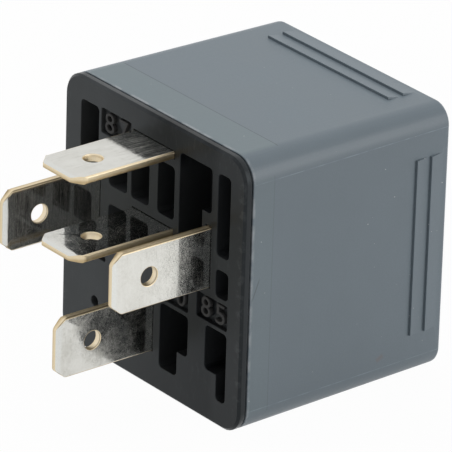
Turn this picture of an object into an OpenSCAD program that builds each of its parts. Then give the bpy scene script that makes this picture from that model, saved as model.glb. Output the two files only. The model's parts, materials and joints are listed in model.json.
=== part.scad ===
// Plug-in changeover relay with five 6.3 mm blade terminals.
//
// Frame: the terminal face is the plane y = 0, with its centre at the origin.
// The blades point to -Y, the cover closes at +Y, and +Z is up as the relay lies on its side.
// All moving pieces are drawn at rest: coil off, armature open, contact 87a closed.

/* [Body] */
// Width of the body along X
body_w = 28; // [27:0.2:32]
// Height of the body along Z
body_h = 28.4; // [27.6:0.2:32]
// Depth from the terminal face to the closed end
body_d = 25.2; // [24:0.2:32]
// Radius of the four long edges at the terminal side
body_r = 2.5; // [1.6:0.1:3.5]

/* [Cover] */
// Thickness of the side walls
cover_wall = 1.0; // [0.8:0.05:1.2]
// Thickness of the closed end
cover_end_t = 1.0; // [0.7:0.05:1.5]
// Draft of the walls towards the closed end, in degrees
cover_draft = 0.92; // [0.2:0.02:1.2]
// Rounding of the edge round the closed end
cover_end_r = 0.45; // [0.2:0.05:0.8]
// Seam left between the base flange and the mouth of the cover
cover_seam = 0.08; // [0.02:0.02:0.2]

/* [Grip ridges] */
// Number of ridges on each side
ridge_count = 2; // [1:1:3]
// Height of a ridge at its steep face
ridge_h = 0.28; // [0.15:0.01:0.5]
// Length over which a ridge tapers away
ridge_taper = 1.6; // [1:0.1:1.75]
// Width of the flat left on top of a ridge
ridge_flat = 0.06; // [0:0.02:0.2]
// Distance between two ridges
ridge_pitch = 1.82; // [1.8:0.02:2.4]
// Length of each ridge across its side
ridge_span = 18.4; // [10:0.2:20]
// Distance of the last steep face from the closed end
ridge_end_gap = 2.4; // [2.4:0.1:4]

/* [Base] */
// Thickness of the flange that shows round the cover
flange_t = 0.8; // [0.5:0.05:1.2]
// Chamfer of the flange's front edge
flange_chamfer = 0.25; // [0.1:0.05:0.4]
// Depth of the base from the terminal face to its inner face
base_d = 4.8; // [4.4:0.1:5.6]
// Depth of the moulding pockets in the terminal face
pocket_d = 3.8; // [2:0.1:3.9]
// Corner radius of the pockets
pocket_r = 0.45; // [0.2:0.05:0.6]
// Solid rim left beside the pockets, left and right
pocket_rim_x = 2.2; // [2.1:0.05:2.6]
// Solid rim left above the pockets
pocket_rim_z = 2.35; // [2.1:0.05:2.6]
// Depth of the recessed boxes that carry the terminal numbers
label_d = 0.5; // [0.2:0.05:0.6]
// Height of a box for a terminal number
label_h = 2.6; // [2.2:0.1:3]
// Width of the box for a two-digit number
label_w = 4.65; // [4.2:0.05:4.8]
// Diameter of the vent hole
vent_d = 1.1; // [0.6:0.1:1.6]
// Distance of the vent from the middle, across
vent_x = -8.7; // [-9.4:0.1:-7]
// Distance of the vent from the middle, upwards
vent_z = -8.6; // [-9.4:0.1:-7]
// Clearance of the base plug in the cover
plug_clear = 0.06; // [0.02:0.02:0.15]
// Height of the snap noses
nose_h = 0.35; // [0.2:0.05:0.45]
// Length of the snap noses across a side
nose_w = 6; // [3:0.5:10]
// Distance of the snap noses from the flange
nose_gap = 1.3; // [1:0.1:1.6]
// Length of the snap noses' ramps along the depth
nose_ramp = 1.4; // [1:0.1:1.6]
// Thickness of the two ribs that the yoke stands on
rib_t = 1.2; // [0.8:0.1:1.6]

/* [Blades] */
// Width of a blade
blade_w = 6.3; // [5.6:0.1:6.6]
// Thickness of a blade and of its inner strip
blade_t = 0.8; // [0.6:0.05:1]
// Length of a blade outside the terminal face
blade_len = 11.5; // [9:0.5:14]
// Diameter of the locking hole
blade_hole_d = 1.9; // [1.2:0.1:2.4]
// Distance of the locking hole from the tip
blade_hole_inset = 4.3; // [3:0.1:5.5]
// Corner cut at the tip, along the blade
tip_cut_y = 1.2; // [0.5:0.1:1.6]
// Corner cut at the tip, across the blade
tip_cut_w = 1.0; // [0.5:0.1:1.6]
// Length of the coined lead-in at the tip
tip_bevel_len = 0.85; // [0.4:0.05:1.5]
// Thickness left at the tip
tip_t = 0.44; // [0.2:0.02:0.5]
// Chamfer along the blade's long edges
blade_chamfer = 0.14; // [0.05:0.01:0.2]
// Clearance of a blade in its slot
slot_clear = 0.05; // [0.02:0.01:0.1]

/* [Terminal places] */
// Height of blade 87, the make contact
t87_z = 11.15; // [10.8:0.05:11.4]
// Height of blade 87a, the break contact
t87a_z = 3.1; // [2.9:0.05:3.4]
// Height of the centre of blades 85 and 86
coil_t_z = 2.75; // [2.4:0.05:3.2]
// Distance of blades 85 and 86 from the middle
coil_t_x = 8.6; // [8.4:0.05:8.8]
// Height of the centre of blade 30
t30_z = -7.2; // [-7.5:0.05:-6.9]
// Place of blade 30 across the body
t30_x = 0.1; // [-0.2:0.05:0.4]

/* [Magnet] */
// Thickness of the yoke
yoke_t = 1.8; // [1.4:0.1:2]
// Width of the yoke
yoke_w = 12; // [11:0.5:13]
// Room between the yoke and the wall behind it, for the spring's bend
yoke_back_gap = 2.6; // [2.5:0.05:3]
// Diameter of the core
core_d = 6; // [5:0.2:6.6]
// Diameter of the core's pole face
pole_d = 9.2; // [8:0.2:10]
// Thickness of the pole face
pole_t = 1.2; // [0.8:0.1:1.6]
// Diameter of the core's riveted tail
core_tail_d = 4.6; // [3.6:0.2:4.8]
// Thickness of the armature
armature_t = 1.4; // [1:0.1:1.8]
// Width of the armature
armature_w = 11.6; // [10.4:0.2:12.6]
// Swing of the armature from open to closed, in degrees
swing = 3; // [2:0.25:4]
// Gap left under the armature when it is closed
pole_gap = 0.06; // [0.03:0.01:0.15]
// Running clearance of the armature on the yoke's round edge
hinge_clear = 0.05; // [0.02:0.01:0.08]

/* [Coil] */
// Side of the bobbin's square flanges
bobbin_w = 12.8; // [12:0.1:13.2]
// Thickness of the bobbin's flanges
bobbin_flange_t = 0.9; // [0.6:0.1:1.2]
// Wall of the bobbin's tube
bobbin_wall = 0.7; // [0.5:0.05:1]
// Outer diameter of the winding
winding_d = 11.6; // [10.4:0.2:12]
// Pitch of the turns that show on the outer layer
turn_pitch = 0.3; // [0.25:0.05:0.6]
// Diameter of the lead wires
lead_d = 0.3; // [0.2:0.05:0.4]
// Turns of a lead round its post
lead_wraps = 3; // [2:1:4]

/* [Contacts] */
// Diameter of the contact rivets
contact_d = 3.2; // [2.6:0.1:3.6]
// Height of a contact above its carrier
contact_h = 0.6; // [0.4:0.05:0.8]
// Radius of the moving contact's domes
contact_dome_r = 6; // [4:0.5:12]
// Diameter of the contact rivets' shanks
contact_shank_d = 1.6; // [1.2:0.1:2]
// Distance from blade 87's plane to the contacts' axis
contact_inset = 2.85; // [2.7:0.05:3.1]
// Thickness of the contact spring
spring_t = 0.25; // [0.15:0.01:0.35]
// Width of the spring on the armature and the yoke
spring_w = 9; // [8:0.2:10]
// Width of the spring's contact arm
spring_arm_w = 5; // [4.4:0.1:5.6]
// Room between the top strip of 87a and the closed end
top_clear = 1.3; // [1:0.1:2]

/* [Rivets] */
// Diameter of the shanks of the small rivets
rivet_d = 1.6; // [1.2:0.1:1.8]
// Diameter of the heads of the small rivets
rivet_head_d = 2.6; // [2:0.1:2.8]
// Height of the heads of the small rivets
rivet_head_h = 0.45; // [0.3:0.05:0.6]

/* [Hidden] */
$fn = 48;

// Facets of a corner that is blended with hull()
hull_fn = 32;
// Facets of the contacts' shallow domes
dome_fn = 360;
// Sides of the fine wire in its turns round a post
wire_fn = 12;
// Largest angle between two points of a drawn arc
arc_step = 5;
// Overshoot of a cut past the face it opens
over = 0.5;
// Lap of two lengths of one strip that are drawn apart
lap = 0.1;
// Strip left round a hole or a head
strip_margin = 0.3;
// Thickness of the slices that a blended shell is drawn between
slice = 0.01;
// Least corner radius inside the cover
least_r = 0.3;
// Height and diameter of the riveted side of a fixed contact
upset_h = 0.35;
upset_d = 0.8 * contact_d;
// Height and overhang of the flare that rivets the core's tail
tail_flare = 0.5;
// Flat left on a snap nose, and the room that its recess in the cover has round it
nose_flat = 0.3;
nose_room = 0.08;
// Distance by which the ribs under the yoke's foot stop short of its ends
rib_inset = 0.6;
// Clearance of a shank in the hole it is riveted through
hole_clear = 0.02;
// Gap left where two contacts meet
touch_gap = 0.03;
// Inside radius of a bend in the terminal strip
bend_r = 0.3;
// Inside radius of the yoke's bend
yoke_bend_r = 0.1;

// Depths, from the terminal face
draft_k = tan(cover_draft);
cover_y0 = flange_t + cover_seam;
cavity_y1 = body_d - cover_end_t;
yoke_y0 = base_d + blade_t;
yoke_y1 = yoke_y0 + yoke_t;

// Heights
yoke_z0 = -(body_h / 2 - cover_wall - yoke_back_gap);
yoke_z1 = yoke_z0 + yoke_t;
yoke_foot_z1 = t87a_z - blade_t / 2 - 0.7;
hinge_z = yoke_z0 + yoke_t / 2;
coil_z = yoke_z1 + yoke_bend_r + bobbin_w / 2;
contact_z = t87_z - contact_inset;

// The stack of contacts is set from the closed end inwards, and the pole face follows from it
hinge_r = yoke_t / 2;
hinge_drop = hinge_r / 2 - pole_gap;
top_y1 = cavity_y1 - top_clear;
top_y0 = top_y1 - blade_t;
break_y = top_y0 - contact_h;
arm_stack = hinge_drop + pole_gap + armature_t + spring_t + contact_h;
arm_reach = contact_z - hinge_z;
pole_y = break_y - touch_gap + hinge_drop - arm_stack * cos(swing) - arm_reach * sin(swing);
hinge_y = pole_y - hinge_drop;
armature_y0 = pole_y + pole_gap;
armature_y1 = armature_y0 + armature_t;
make_y = armature_y1 - contact_h - touch_gap;
make_strip_y1 = make_y - contact_h;

// Bobbin and winding
bobbin_y1 = pole_y - pole_t;
winding_y0 = yoke_y1 + bobbin_flange_t;
winding_y1 = bobbin_y1 - bobbin_flange_t;
bobbin_bore_r = core_d / 2 + 0.08;
bobbin_tube_r = bobbin_bore_r + bobbin_wall;
bobbin_corner_r = 1.2;

// Riser of terminal 87a, beside the contact arm
riser_x1 = armature_w / 2 + 0.4 + blade_t;
riser_z0 = contact_z - contact_d / 2 - strip_margin;
riser_z1 = contact_z + contact_d / 2 + strip_margin;
tab_x0 = -contact_d / 2 - strip_margin;

// Posts of terminals 85 and 86: how far below the blade's middle, past the winding's start and its wrap
post_drop = 1.6;
post_reach = 1.6;
wrap_gap = 0.15;
shoulder_w = blade_w + 1;
shoulder_h = 1.2;
post_w = 1.3;
post_z = coil_t_z - post_drop;
post_y1 = winding_y0 + post_reach;
wrap_y0 = winding_y0 + wrap_gap;

// Spring: room between its end and the yoke's foot, from its end to its rivets, from its step to the hinge
spring_clear = 2.2;
rivet_inset = 2;
jog_back = 3.6;
// From the spring's sides to the rivets' middles, and from the pole's lower edge up to the armature's rivets
rivet_edge = 1.9;
arm_rivet_rise = 1.2;
// Width of the spring's two bands beside its window
spring_band_w = 2.4;
// The spring's bend passes outside the armature's heel
heel_drop = 0.4;
heel_gap = 0.05;
heel_z = hinge_z - heel_drop;
spring_bend_r = 1.7;
spring_back_z = heel_z - heel_gap - spring_bend_r;
spring_end_y = yoke_y1 + spring_clear;
spring_jog_y = hinge_y - jog_back;
spring_rivet_y = spring_end_y + rivet_inset;
spring_tip_z = contact_z + contact_d / 2 + strip_margin;
arm_rivet_z = coil_z - pole_d / 2 + arm_rivet_rise;
rivet_x = spring_w / 2 - rivet_edge;

// Pockets in the terminal face: the field that they fill and the ribs left in it
field_x = body_w / 2 - pocket_rim_x;
field_z = body_h / 2 - pocket_rim_z;
// From the middle of a coil blade to the pockets outside and inside it
coil_out = blade_t / 2 + 0.95;
coil_in = blade_t / 2 + 0.6;
// Half of the cross rib level with the coil blades
cross_rib = 0.7;
// Height from which the pockets pass over the coil blades
notch_z = coil_t_z + blade_w / 2 + 1.35;
// Foot of the pockets beside the coil blades
coil_foot_z = coil_t_z - blade_w / 2 - 0.4;
// Left side of the big pocket beside blade 85, and its foot
big_x0 = 4.1;
big_z0 = coil_t_z + 0.45;
// Height of the lower row of pockets round blade 87a, then the spans of both rows and the three columns
row_h = 3.4;
row_gap = 0.2;
row_hi = [t87a_z + blade_t / 2 + 0.95, t87_z - blade_t / 2 - 0.85];
row_lo = [t87a_z - blade_t / 2 - row_gap - row_h, t87a_z - blade_t / 2 - row_gap];
columns = [[-6.85, -4.0], [-3.35, -0.6], [0.75, 3.3]];
// Stepped pockets at the lower right and beside blade 30: head, step and foot
low_z1 = -4.3;
low_step_z = -8.9;
low_z0 = -11.5;
low_aside = 1.8;
low_x0 = coil_t_x + low_aside;
mid_z1 = -4.7;
mid_x0 = t30_x + blade_t / 2 + 1.1;
mid_x1 = 5.9;
mid_step_x = 4.3;

// Lower left corners of the boxes for the terminal numbers, and the width of the one for 87a
label_85 = [field_x - label_w, -3.9];
label_86 = [-field_x, -3.9];
label_87 = [-8.2, 9.45];
label_30 = [mid_x0 - 0.4, -4.25];
label_87a = [3.95, -0.8];
label_87a_w = 3.6;
label_r = 0.2;

// ---- Shared shapes ----

// Extrudes a front-view shape, drawn as X and Z, from depth y0 to depth y1
module along_y(y0, y1) {
    translate([0, y1, 0]) rotate([90, 0, 0]) linear_extrude(y1 - y0) children();
}

// Extrudes a side-view shape, drawn as Y and Z, centred across X
module along_x(width) {
    rotate([90, 0, 90]) linear_extrude(width, center = true) children();
}

// A box from its lowest to its highest corner
module block(low, high) {
    translate(low) cube(high - low);
}

// A rounded rectangle centred on the origin
module round_rect(w, h, r) {
    square([w - 2 * r, h], center = true);
    square([w, h - 2 * r], center = true);
    for (sx = [-1, 1], sy = [-1, 1])
        translate([sx * (w / 2 - r), sy * (h / 2 - r)]) circle(r);
}

// A rounded rectangle from one corner to the other
module round_span(x0, x1, z0, z1, r) {
    translate([(x0 + x1) / 2, (z0 + z1) / 2]) round_rect(x1 - x0, z1 - z0, r);
}

// An L-shaped strip with its outer corner at the origin and legs along +X and +Y
module bent_strip(a, b, t, r) {
    difference() {
        union() {
            translate([r + t, 0]) square([a - r - t, t]);
            translate([0, r + t]) square([t, b - r - t]);
            intersection() {
                translate([r + t, r + t]) circle(r + t);
                square(r + t);
            }
        }
        translate([r + t, r + t]) circle(r);
    }
}

// Points along an arc round c, from angle a0 to angle a1
function arc_points(c, r, a0, a1) =
    let (n = ceil(abs(a1 - a0) / arc_step))
    [for (i = [0 : n]) let (a = a0 + (a1 - a0) * i / n) c + r * [cos(a), sin(a)]];

// One slice of the body's outline at depth y, set inwards by inset
module body_slice(y, inset) {
    in = inset + draft_k * (y - flange_t);
    r = max(body_r - in, least_r);
    along_y(y, y + slice) round_rect(body_w - 2 * in, body_h - 2 * in, r, $fn = hull_fn);
}

// A rivet's or contact's shank along +Y with a flat head below y = 0
module headed_pin(shank_d, head_d, head_h, length) {
    rotate([-90, 0, 0]) cylinder(d = shank_d, h = length);
    translate([0, -head_h, 0]) rotate([-90, 0, 0]) cylinder(d = head_d, h = head_h);
}

// A contact head from y = 0 to its domed top at y = contact_h
module domed_head() {
    intersection() {
        rotate([-90, 0, 0]) cylinder(d = contact_d, h = contact_h);
        translate([0, contact_h - contact_dome_r, 0]) sphere(contact_dome_r, $fn = dome_fn);
    }
}

// Turns what is drawn closed, with the armature on the pole face, to the open rest place
module at_rest() {
    translate([0, hinge_y, hinge_z]) rotate([-swing, 0, 0]) translate([0, -hinge_y, -hinge_z]) children();
}

// ---- Blades ----

// Corner points of a blade's tip and sides, up to depth y1, for its plan outline
function blade_plan(y1) = [
    [-blade_w / 2, y1],
    [-blade_w / 2, -blade_len + tip_cut_y],
    [-blade_w / 2 + tip_cut_w, -blade_len],
    [blade_w / 2 - tip_cut_w, -blade_len],
    [blade_w / 2, -blade_len + tip_cut_y],
    [blade_w / 2, y1],
];

// Edge view of a blade with the coined lead-in at its tip, up to depth y1
function blade_edge(y1) = [
    [y1, -blade_t / 2],
    [-blade_len + tip_bevel_len, -blade_t / 2],
    [-blade_len, -tip_t / 2],
    [-blade_len, tip_t / 2],
    [-blade_len + tip_bevel_len, blade_t / 2],
    [y1, blade_t / 2],
];

// Cutters for the chamfers along the long edges, as far as just inside the slot
module blade_chamfers() {
    side = blade_chamfer * sqrt(2);
    for (sx = [-1, 1], sz = [-1, 1])
        translate([sx * blade_w / 2, 0, sz * blade_t / 2]) rotate([0, 45, 0])
            block([-side / 2, -blade_len - over, -side / 2], [side / 2, over, side / 2]);
}

// A blade lying flat, its width along X, cut from a plan outline given as children
module blade_from(y1) {
    difference() {
        intersection() {
            linear_extrude(2 * blade_t, center = true) children();
            along_x(2 * blade_w) polygon(blade_edge(y1));
        }
        blade_chamfers();
        translate([0, -blade_len + blade_hole_inset, 0])
            cylinder(d = blade_hole_d, h = 2 * blade_t, center = true);
    }
}

// A plain blade that ends at depth y1
module blade(y1) {
    blade_from(y1) polygon(blade_plan(y1));
}

// The slot for a flat-lying blade through the base, with room for a bend on one side
module blade_slot(bend_side = 0) {
    w = blade_w + 2 * slot_clear;
    t = blade_t + 2 * slot_clear;
    block([-w / 2, -over, -t / 2], [w / 2, base_d + over, t / 2]);
    if (bend_side != 0)
        translate([0, 0, bend_side * blade_t / 2])
            block([-w / 2, base_d - bend_r - slot_clear, -bend_r - slot_clear],
                  [w / 2, base_d + over, bend_r + slot_clear]);
}

// Places for the five blades: children are drawn flat-lying at the middle
module at_87() { translate([0, 0, t87_z]) children(); }
module at_87a() { translate([0, 0, t87a_z]) children(); }
module at_30() { translate([t30_x, 0, t30_z]) rotate([0, 90, 0]) children(); }
module at_coil(side) { translate([side * coil_t_x, 0, coil_t_z]) rotate([0, 90, 0]) children(); }

// ---- Base ----

// One moulding pocket in the terminal face
module pocket(x0, x1, z0, z1) {
    along_y(-over, pocket_d) round_span(x0, x1, z0, z1, pocket_r);
}

// All the pockets: a field of ribs round the blades
module pockets() {
    left_x = -field_x + 0.4;
    // beside the coil terminals, near the edge
    pocket(coil_t_x + coil_out, field_x, coil_t_z + cross_rib, field_z);
    pocket(coil_t_x + coil_out, field_x, coil_foot_z, coil_t_z - cross_rib);
    pocket(left_x, -coil_t_x - coil_out, coil_t_z + cross_rib, field_z);
    pocket(left_x, -coil_t_x, notch_z, field_z);
    pocket(-field_x, -coil_t_x - coil_out, coil_foot_z, coil_t_z - cross_rib);
    // large pocket at the upper right, notched round blade 85
    pocket(big_x0, coil_t_x - coil_in, big_z0, field_z);
    pocket(big_x0, coil_t_x + blade_t / 2, notch_z, field_z);
    // two rows of three, above and below blade 87a
    for (row = [row_hi, row_lo], column = columns)
        pocket(column[0], column[1], row[0], row[1]);
    // lower right, stepped
    pocket(coil_t_x, field_x, low_step_z, low_z1);
    pocket(low_x0, field_x, low_z0, low_z1);
    // lower middle beside blade 30, stepped
    pocket(mid_x0, mid_x1, low_step_z, mid_z1);
    pocket(mid_x0, mid_step_x, low_z0, mid_z1);
}

// One shallow box for a terminal number, from its lower left corner
module label_box(corner, w = label_w) {
    along_y(-over, label_d) round_span(corner[0], corner[0] + w, corner[1], corner[1] + label_h, label_r);
}

module label_boxes() {
    for (corner = [label_85, label_86, label_87, label_30])
        label_box(corner);
    label_box(label_87a, label_87a_w);
}

// Half the width of the base plug, or half its height, inside a wall at half-size s
function plug_half(s) = s - cover_wall - plug_clear - draft_k * (base_d - flange_t);

// A snap nose on a side at half-size s: steep towards the flange, with a ramp inwards
module snap_nose(s, grow) {
    y0 = flange_t + nose_gap - grow;
    y1 = flange_t + nose_gap + nose_flat + grow;
    y2 = y1 + nose_ramp;
    top = nose_h + grow;
    linear_extrude(nose_w + 2 * grow, center = true)
        polygon([[s - over, y0], [s + top, y0], [s + top, y1], [s, y2], [s - over, y2]]);
}

module snap_noses(grow = 0) {
    for (side = [0, 180]) {
        rotate([0, side, 0]) snap_nose(plug_half(body_w / 2), grow);
        rotate([0, side + 90, 0]) snap_nose(plug_half(body_h / 2), grow);
    }
}

module base() {
    color("#2b2c2e") difference() {
        union() {
            // flange with its chamfered front edge
            hull() {
                along_y(0, slice)
                    round_rect(body_w - 2 * flange_chamfer, body_h - 2 * flange_chamfer,
                               body_r - flange_chamfer, $fn = hull_fn);
                along_y(flange_chamfer, flange_t) round_rect(body_w, body_h, body_r, $fn = hull_fn);
            }
            // plug inside the cover
            along_y(flange_t - slice, base_d)
                round_rect(2 * plug_half(body_w / 2), 2 * plug_half(body_h / 2), body_r - cover_wall);
            snap_noses();
            // two ribs that the yoke stands on
            for (sx = [-1, 1])
                translate([sx * (yoke_w / 2 - rib_t / 2), 0, 0])
                    block([-rib_t / 2, base_d - slice, yoke_z0 + rib_inset],
                          [rib_t / 2, yoke_y0, yoke_foot_z1 - rib_inset]);
        }
        pockets();
        label_boxes();
        at_87() blade_slot();
        at_87a() blade_slot(bend_side = 1);
        at_30() blade_slot(bend_side = 1);
        at_coil(1) blade_slot();
        at_coil(-1) blade_slot();
        translate([vent_x, -over, vent_z]) rotate([-90, 0, 0]) cylinder(d = vent_d, h = base_d + 2 * over);
    }
}

// ---- Cover ----

// Sawtooth ridges on a side at half-size s, drawn on the +X side
module ridges(s) {
    root = -cover_wall / 2;
    for (i = [0 : ridge_count - 1]) {
        y = body_d - ridge_end_gap - i * ridge_pitch;
        face = s - draft_k * (y - flange_t);
        translate([face, y, 0]) rotate([0, 0, cover_draft]) linear_extrude(ridge_span, center = true)
            polygon([[root, 0], [ridge_h, 0], [ridge_h, ridge_flat], [0, ridge_taper], [root, ridge_taper]]);
    }
}

module cover() {
    color("#6d767d") difference() {
        union() {
            // outer shell: drafted sides, rounded edge round the closed end
            hull() {
                body_slice(cover_y0, 0);
                for (a = [0 : 22.5 : 90])
                    body_slice(body_d - slice - cover_end_r * (1 - sin(a)), cover_end_r * (1 - cos(a)));
            }
            for (side = [0, 180]) {
                rotate([0, side, 0]) ridges(body_w / 2);
                rotate([0, side + 90, 0]) ridges(body_h / 2);
            }
        }
        hull() {
            body_slice(cover_y0 - over, cover_wall);
            body_slice(cavity_y1 - slice, cover_wall);
        }
        snap_noses(grow = nose_room);
    }
}

// ---- Terminals ----

module terminal_87() {
    rise = make_strip_y1;
    arm = blade_t / 2 + contact_inset + contact_d / 2 + strip_margin;
    color("#d9d6cd") at_87() difference() {
        union() {
            blade(base_d + lap);
            block([-shoulder_w / 2, base_d, -blade_t / 2],
                  [shoulder_w / 2, base_d + shoulder_h, blade_t / 2]);
            // riser and the strip that carries the contact
            translate([0, rise, blade_t / 2]) along_x(blade_w) rotate(180)
                bent_strip(rise - base_d, arm, blade_t, bend_r);
        }
        translate([0, rise - blade_t - over, -contact_inset]) rotate([-90, 0, 0])
            cylinder(d = contact_shank_d + 2 * hole_clear, h = blade_t + 2 * over);
    }
}

module terminal_87a() {
    foot_z0 = t87a_z - blade_t / 2;
    color("#d9d6cd") difference() {
        union() {
            at_87a() blade(base_d - bend_r);
            // foot that lies on the base's inner face
            translate([0, yoke_y0, foot_z0]) along_x(blade_w) mirror([1, 0])
                bent_strip(blade_t + bend_r + lap, riser_z1 - foot_z0, blade_t, bend_r);
            // riser beside the contact arm, and the strip over it
            translate([0, 0, riser_z0]) linear_extrude(riser_z1 - riser_z0) {
                translate([riser_x1, base_d]) mirror([1, 0])
                    bent_strip(riser_x1 + blade_w / 2, (top_y1 - base_d) / 2 + lap, blade_t, bend_r);
                translate([riser_x1, top_y1]) rotate(180)
                    bent_strip(riser_x1 - tab_x0, (top_y1 - base_d) / 2, blade_t, bend_r);
            }
        }
        translate([0, top_y0 - over, contact_z]) rotate([-90, 0, 0])
            cylinder(d = contact_shank_d + 2 * hole_clear, h = blade_t + 2 * over);
    }
}

// Foot of terminal 30, clear of the core's tail, and the rivet that joins it to the yoke
t30_foot_z0 = t30_z - blade_w / 2 + 0.4;
t30_foot_z1 = coil_z - core_tail_d / 2 - tail_flare - strip_margin;
t30_rivet_x = t30_x + blade_t / 2 + bend_r + rivet_head_d / 2 + strip_margin;
t30_rivet_z = (t30_foot_z0 + t30_foot_z1) / 2;

module terminal_30() {
    foot_x1 = t30_rivet_x + rivet_head_d / 2;
    color("#d9d6cd") difference() {
        union() {
            at_30() blade(base_d - bend_r);
            translate([t30_x - blade_t / 2, yoke_y0, t30_foot_z0]) linear_extrude(t30_foot_z1 - t30_foot_z0)
                mirror([0, 1])
                    bent_strip(foot_x1 - t30_x + blade_t / 2, blade_t + bend_r + lap, blade_t, bend_r);
        }
        translate([t30_rivet_x, base_d - over, t30_rivet_z]) rotate([-90, 0, 0])
            cylinder(d = rivet_d + 2 * hole_clear, h = blade_t + 2 * over);
    }
}

// Outline of a coil terminal: blade, shoulders and the post that the lead is wrapped on
module coil_terminal_plan() {
    polygon(blade_plan(base_d + lap));
    translate([-shoulder_w / 2, base_d]) square([shoulder_w, shoulder_h]);
    translate([coil_t_z - post_z - post_w / 2, base_d]) square([post_w, post_y1 - base_d]);
}

module coil_terminal(side) {
    color("#d9d6cd") at_coil(side) blade_from(post_y1) coil_terminal_plan();
}

module terminal_85() { coil_terminal(1); }
module terminal_86() { coil_terminal(-1); }

// ---- Contacts ----

// A fixed contact: flat head on one face of its strip, riveted over on the other
module fixed_contact() {
    headed_pin(contact_shank_d, contact_d, contact_h, blade_t);
    translate([0, blade_t, 0]) rotate([-90, 0, 0])
        cylinder(d1 = upset_d, d2 = contact_shank_d, h = upset_h);
}

module fixed_contact_87() {
    color("#c8c4b8") translate([0, make_strip_y1, contact_z]) rotate([180, 0, 0]) fixed_contact();
}

module fixed_contact_87a() {
    color("#c8c4b8") translate([0, top_y0, contact_z]) fixed_contact();
}

module moving_contact() {
    color("#c8c4b8") at_rest() translate([0, armature_y1, contact_z]) {
        translate([0, spring_t, 0]) domed_head();
        mirror([0, 1, 0]) domed_head();
        rotate([-90, 0, 0]) cylinder(d = contact_shank_d, h = spring_t);
    }
}

// ---- Moving group ----

// Holes for the two rivets of a pair, along Y, at height z
module rivet_pair(z) {
    for (sx = [-1, 1]) translate([sx * rivet_x, 0, z]) children();
}

module armature() {
    half = armature_w / 2;
    tip_z = coil_z + pole_d / 2 + 1;
    tip_half = spring_arm_w / 2 + 0.8;
    corner_z = tip_z - half + tip_half;
    color("#9a9da0") at_rest() difference() {
        along_y(armature_y0, armature_y1)
            polygon([[-half, heel_z], [half, heel_z], [half, corner_z], [tip_half, tip_z],
                     [-tip_half, tip_z], [-half, corner_z]]);
        // round seat for the yoke's edge
        translate([0, hinge_y, hinge_z]) rotate([0, 90, 0])
            cylinder(r = hinge_r + hinge_clear, h = armature_w + 2 * over, center = true);
        rivet_pair(arm_rivet_z) translate([0, armature_y0 - over, 0]) rotate([-90, 0, 0])
            cylinder(d = rivet_d + 2 * hole_clear, h = armature_t + 2 * over);
    }
}

module armature_rivets() {
    color("#8f9296") at_rest() rivet_pair(arm_rivet_z)
        translate([0, armature_y1 + spring_t, 0]) rotate([180, 0, 0])
            headed_pin(rivet_d, rivet_head_d, rivet_head_h, armature_t + spring_t);
}

// Centre of the spring's bend, so that its inside is tangent to the back and to the armature
bend_z = spring_back_z + spring_bend_r;
bend_reach = armature_y1 - hinge_y - spring_bend_r;
bend_y = hinge_y + (bend_reach + (bend_z - hinge_z) * sin(swing)) / cos(swing);

// The spring steps out from the yoke's back in two arcs
jog = yoke_z0 - spring_back_z;
jog_r = jog / 2 + 0.4;
jog_a = acos(1 - jog / (2 * jog_r + spring_t));
jog_y1 = spring_jog_y + (2 * jog_r + spring_t) * sin(jog_a);

// Side view of one face of the spring: inner = 1 for the face that meets the armature, 0 for the other.
// It lies on the yoke, steps out, passes the heel and follows the armature.
function spring_face(inner) =
    let (t = (1 - inner) * spring_t,
         along = [sin(swing), cos(swing)],
         out = [cos(swing), -sin(swing)])
    concat(
        [[spring_end_y, yoke_z0 - t]],
        arc_points([spring_jog_y, yoke_z0 - spring_t - jog_r], jog_r + spring_t - t, 90, 90 - jog_a),
        arc_points([jog_y1, spring_back_z + jog_r], jog_r + t, -90 - jog_a, -90),
        arc_points([bend_y, bend_z], spring_bend_r + t, -90, -swing),
        [[bend_y, bend_z] + (spring_bend_r + t) * out + (spring_tip_z - bend_z) * along]);

module spring_section() {
    outer = spring_face(0);
    polygon(concat(spring_face(1), [for (i = [len(outer) - 1 : -1 : 0]) outer[i]]));
}

// What is cut from each side of the strip to leave the narrow contact arm, seen from the front
module spring_arm_cut() {
    neck_z = coil_z + 1.5;
    far_x = spring_w / 2 + over;
    far_z = spring_tip_z + over;
    arm = spring_arm_w / 2;
    corner = 1.2;
    polygon([[far_x, neck_z - far_x + arm], [arm, neck_z], [arm, spring_tip_z - corner],
             [arm - corner, spring_tip_z], [arm - corner, far_z], [far_x, far_z]]);
}

module contact_spring() {
    // the window leaves two bands, and runs through the bend alone
    window_w = spring_w - 2 * spring_band_w;
    window_y0 = spring_jog_y - 0.4;
    color("#c9a66b") difference() {
        along_x(spring_w) spring_section();
        at_rest() {
            for (side = [0, 1])
                mirror([side, 0, 0]) along_y(armature_y1 - over, armature_y1 + spring_t + over)
                    spring_arm_cut();
            rivet_pair(arm_rivet_z) translate([0, armature_y1 - over, 0]) rotate([-90, 0, 0])
                cylinder(d = rivet_d + 2 * hole_clear, h = spring_t + 2 * over);
            translate([0, armature_y1 - over, contact_z]) rotate([-90, 0, 0])
                cylinder(d = contact_shank_d + 2 * hole_clear, h = spring_t + 2 * over);
        }
        block([-window_w / 2, window_y0, spring_back_z - spring_t - over],
              [window_w / 2, bend_y + over, bend_z - 1]);
        // holes for the rivets in the yoke
        for (sx = [-1, 1])
            translate([sx * rivet_x, spring_rivet_y, yoke_z0 - spring_t - over])
                cylinder(d = rivet_d + 2 * hole_clear, h = spring_t + 2 * over);
    }
}

// ---- Magnet ----

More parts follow.
